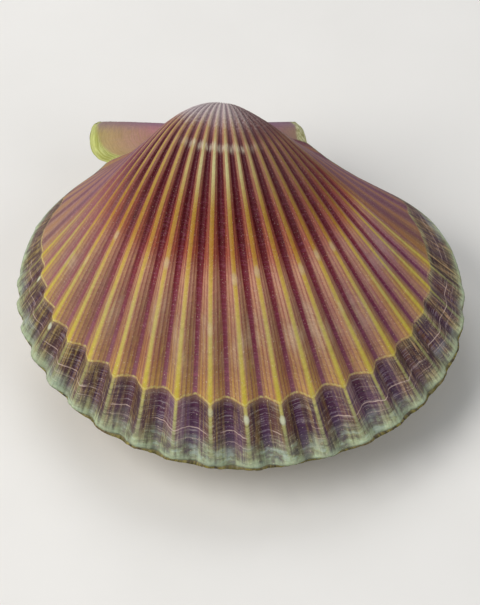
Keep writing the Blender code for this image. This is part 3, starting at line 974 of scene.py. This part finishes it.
def ears(p):
    """Mauve by the hinge, warm in the middle, greenish yellow at the end, and chalky on the rear ear."""
    from_hinge = p.attribute("edge_y") * p.stage
    rear = p.side.smooth(0.2, 0.8)
    bands = (p.lines * 0.5 + p.patch * 0.5).smooth(0.48, 0.56)
    ear = p.stage.ramp(EAR_COLOURS)
    ear = ear.tint(bands * 0.35, "8e7848")
    ear = ear.tint(rear * 0.5, "80586c")
    by_hinge = 1.0 - (from_hinge + (p.grain - 0.5) * 0.02).smooth(0.004, 0.040)
    ear = ear.tint(by_hinge * 0.55, "7c6084")
    by_edge = p.stage + (p.patch - 0.5) * 0.03 + from_hinge * 0.7 + rear * 0.03
    chalk = p.grain.smooth(0.42, 0.58).between("9c9c64", "d4d4a8")
    fringe = bands.between("c8d084", "9ca452").blend(rear, chalk)
    return ear.blend(by_edge.smooth(0.965, 1.0) * 0.8, fringe)


def upper_material():
    made, maker, shader = new_material("upper valve")
    p = Pattern(maker)
    colour = main_disc(p)
    colour = colour.blend((1.0 - p.ribbed) * 0.9, bare_shoulder(p))
    past = p.age.smooth(GROWTH_STAGE, GROWTH_STAGE + 0.004)
    colour = colour.blend(past, edge_band(p))
    line = (p.age + (p.hair - 0.5) * 0.004).peak(GROWTH_STAGE - 0.001, 0.0034)
    line = line * (0.15 + p.dashes.smooth(0.35, 0.6) * 0.7) * (1.0 - 0.6 * p.right)
    colour = colour.blend(line, p.left.between("ccc07c", "d8d080"))
    colour = wear_and_painted_glints(p, colour)
    colour = colour.blend(p.ear.smooth(0.4, 0.9), ears(p))
    p.finish(shader, colour.tint(p.inside, INSIDE_COLOUR), FINE_RELIEF)
    return made


def lower_material():
    made, maker, shader = new_material("lower valve")
    p = Pattern(maker)
    ray = (1.0 - p.across.smooth(0.05, 0.35)) * p.share
    colour = p.drift.ramp(LOWER_COLOURS).tint(ray * 0.45, "805060")
    streaks = (p.hair * 0.5 + p.dashes * 0.5).smooth(0.5, 0.62)
    colour = colour.tint(streaks * 0.35, "d0c4b0")
    colour = colour.tint(p.lines.smooth(0.52, 0.66) * 0.4, "6c5a48")
    layers = p.stage.smooth(0.975, 0.99) * p.patch.smooth(0.3, 0.6)
    rim = p.streak.smooth(0.4, 0.6).between("4a4030", "b4a858")
    colour = colour.blend(layers, rim)
    p.finish(shader, colour.tint(p.inside, INSIDE_COLOUR), FINE_RELIEF)
    return made


# The ligament


def ligament_piece():
    """A low strip of dry horn along the back of the hinge line, ridged across, thickest at the beaks."""
    middle = sum(LIGAMENT_SPAN) / 2
    half = (LIGAMENT_SPAN[1] - LIGAMENT_SPAN[0]) / 2
    x = np.linspace(*LIGAMENT_SPAN, LIGAMENT_RINGS)[:, None]
    angle = 2 * math.pi * np.arange(LIGAMENT_SIDES)[None, :] / LIGAMENT_SIDES
    share = 0.55 + 0.45 * np.cos(math.pi / 2 * (x - middle) / half)
    places = [[Vector((along * 900, 0.7 * math.sin(a), 0)) for a in angle[0]] for along in x[:, 0]]
    ridges = np.array([[noise.fractal(place, 0.7, 2.0, 3) for place in ring] for ring in places])
    share = share * np.clip(0.94 + 0.10 * ridges, 0.80, 1.0)
    share[[0, -1]] *= 0.6
    y = -LIGAMENT_DEPTH / 2 * share * (1 - np.cos(angle))
    z = LIGAMENT_THICKNESS / 2 * share * np.sin(angle)
    points = np.stack([np.broadcast_to(x, y.shape), y, z], axis=-1).reshape(-1, 3)
    faces = []
    for r in range(LIGAMENT_RINGS - 1):
        for k in range(LIGAMENT_SIDES):
            a = r * LIGAMENT_SIDES + k
            b = r * LIGAMENT_SIDES + (k + 1) % LIGAMENT_SIDES
            faces.append((a, b, b + LIGAMENT_SIDES, a + LIGAMENT_SIDES))
    faces.append(tuple(range(LIGAMENT_SIDES)))
    faces.append(tuple(range(len(points) - LIGAMENT_SIDES, len(points))))
    mesh = bpy.data.meshes.new("hinge_ligament")
    mesh.from_pydata([shell_direction(*p) * SHELL_HEIGHT + BEAK for p in points], [], faces)
    face_outwards(mesh)
    mesh.materials.append(ligament_material())
    return in_scene("hinge_ligament", mesh)


def ligament_material():
    made, maker, shader = new_material("dry ligament")
    place = maker.node("ShaderNodeTexCoord", None, None, 3)
    values = {0: place, 1: (5000.0, 700.0, 700.0)}
    stretched = maker.node("ShaderNodeVectorMath", {"operation": "MULTIPLY"}, values)
    ridges = maker.noise(stretched, 1.0, 3.0, 0.6)
    crumbs = maker.noise(place, 4000.0, 2.0)
    colour = ridges.smooth(0.35, 0.65).between("1e120b", "5e3c22")
    colour = colour.tint(crumbs.smooth(0.55, 0.7) * 0.4, "8a6a44")
    link(maker, colour, shader.inputs["Base Color"])
    link(maker, 0.35 + crumbs * 0.4, shader.inputs["Roughness"])
    bump = maker.node("ShaderNodeBump", None, {"Height": ridges, "Strength": 0.5, "Distance": 0.0002})
    link(maker, bump, shader.inputs["Normal"])
    return made


# The floor, the lights and the camera


def shell_direction(x, y, z):
    """A direction given in the shell's own terms: right, towards the edge and up."""
    tip = Matrix.Rotation(TIP_SIDEWAYS, 3, "Y") @ Matrix.Rotation(TIP_FORWARD, 3, "X")
    return tip @ Vector((x, -y, z))


def add_camera():
    """The camera, at the photograph's angle to the shell and with its framing."""
    forward = Vector((math.sin(VIEW_YAW), math.cos(VIEW_YAW), 0.0))
    right = Vector((math.cos(VIEW_YAW), -math.sin(VIEW_YAW), 0.0))
    up = -math.sin(VIEW_HEIGHT) * forward + math.cos(VIEW_HEIGHT) * Vector((0, 0, 1))
    toward = math.cos(VIEW_HEIGHT) * forward + math.sin(VIEW_HEIGHT) * Vector((0, 0, 1))
    rolled_right = right * math.cos(VIEW_ROLL) - up * math.sin(VIEW_ROLL)
    rolled_up = right * math.sin(VIEW_ROLL) + up * math.cos(VIEW_ROLL)
    place = VIEW_TARGET + VIEW_DISTANCE * toward
    place = place - VIEW_OFFSET[0] * rolled_right - VIEW_OFFSET[1] * rolled_up
    axes = [shell_direction(*axis) for axis in (rolled_right, rolled_up, toward)]
    data = bpy.data.cameras.new("camera")
    data.lens = VIEW_LENS
    data.sensor_width = 36.0
    data.clip_start = 0.01
    camera = in_scene("camera", data)
    turn = Matrix(axes).transposed().to_4x4()
    camera.matrix_world = Matrix.Translation(shell_direction(*place) * SHELL_HEIGHT + BEAK) @ turn
    bpy.context.scene.camera = camera


def add_light(name, place, size, power, colour):
    data = bpy.data.lights.new(name, "AREA")
    data.shape = "DISK"
    data.size = size
    data.energy = power
    data.color = colour
    light = in_scene(name, data)
    light.location = place
    light.rotation_euler = (LIGHT_TARGET - Vector(place)).to_track_quat("-Z", "Y").to_euler()


def add_stage():
    mesh = bpy.data.meshes.new("floor")
    corners = [(x * FLOOR_REACH, y * FLOOR_REACH, 0) for x, y in ((-1, -1), (1, -1), (1, 1), (-1, 1))]
    mesh.from_pydata(corners, [], [(0, 1, 2, 3)])
    floor = in_scene("floor", mesh)
    made, maker, shader = new_material("floor")
    place = maker.node("ShaderNodeTexCoord", None, None, 3)
    grain = maker.noise(place, 40.0, 3.0)
    link(maker, grain.between("e4e2de", "eceae7"), shader.inputs["Base Color"])
    shader.inputs["Roughness"].default_value = 0.8
    mesh.materials.append(made)
    world = bpy.data.worlds.new("studio")
    world.use_nodes = True
    background = world.node_tree.nodes["Background"]
    background.inputs["Color"].default_value = SKY_COLOUR
    background.inputs["Strength"].default_value = SKY_STRENGTH
    bpy.context.scene.world = world
    for light in LIGHTS:
        add_light(*light)
    bpy.context.scene.view_settings.view_transform = "Standard"


def build():
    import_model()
    tree = growth_tree()
    edge = edge_columns(FRONT_SHOULDER, FRONT_EAR, UPPER_RIB_COLUMNS)
    upper = valve_blank("upper_valve_shell", *edge, UPPER_RIM, UPPER_ROWS, True)
    grow(upper, tree, {}, upper_material())
    edge = edge_columns(BYSSAL_SHOULDER, BYSSAL_EAR, LOWER_RIB_COLUMNS)
    lower = valve_blank("lower_valve_shell", *edge, LOWER_RIM, LOWER_ROWS, False)
    grow(lower, tree, LOWER_SIZES, lower_material())
    for piece, node in ((upper, "upper_valve"), (lower, "lower_valve"), (ligament_piece(), "ligament")):
        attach(piece, "root")
        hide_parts(node)
    add_stage()
    add_camera()
    bpy.context.view_layer.update()


build()
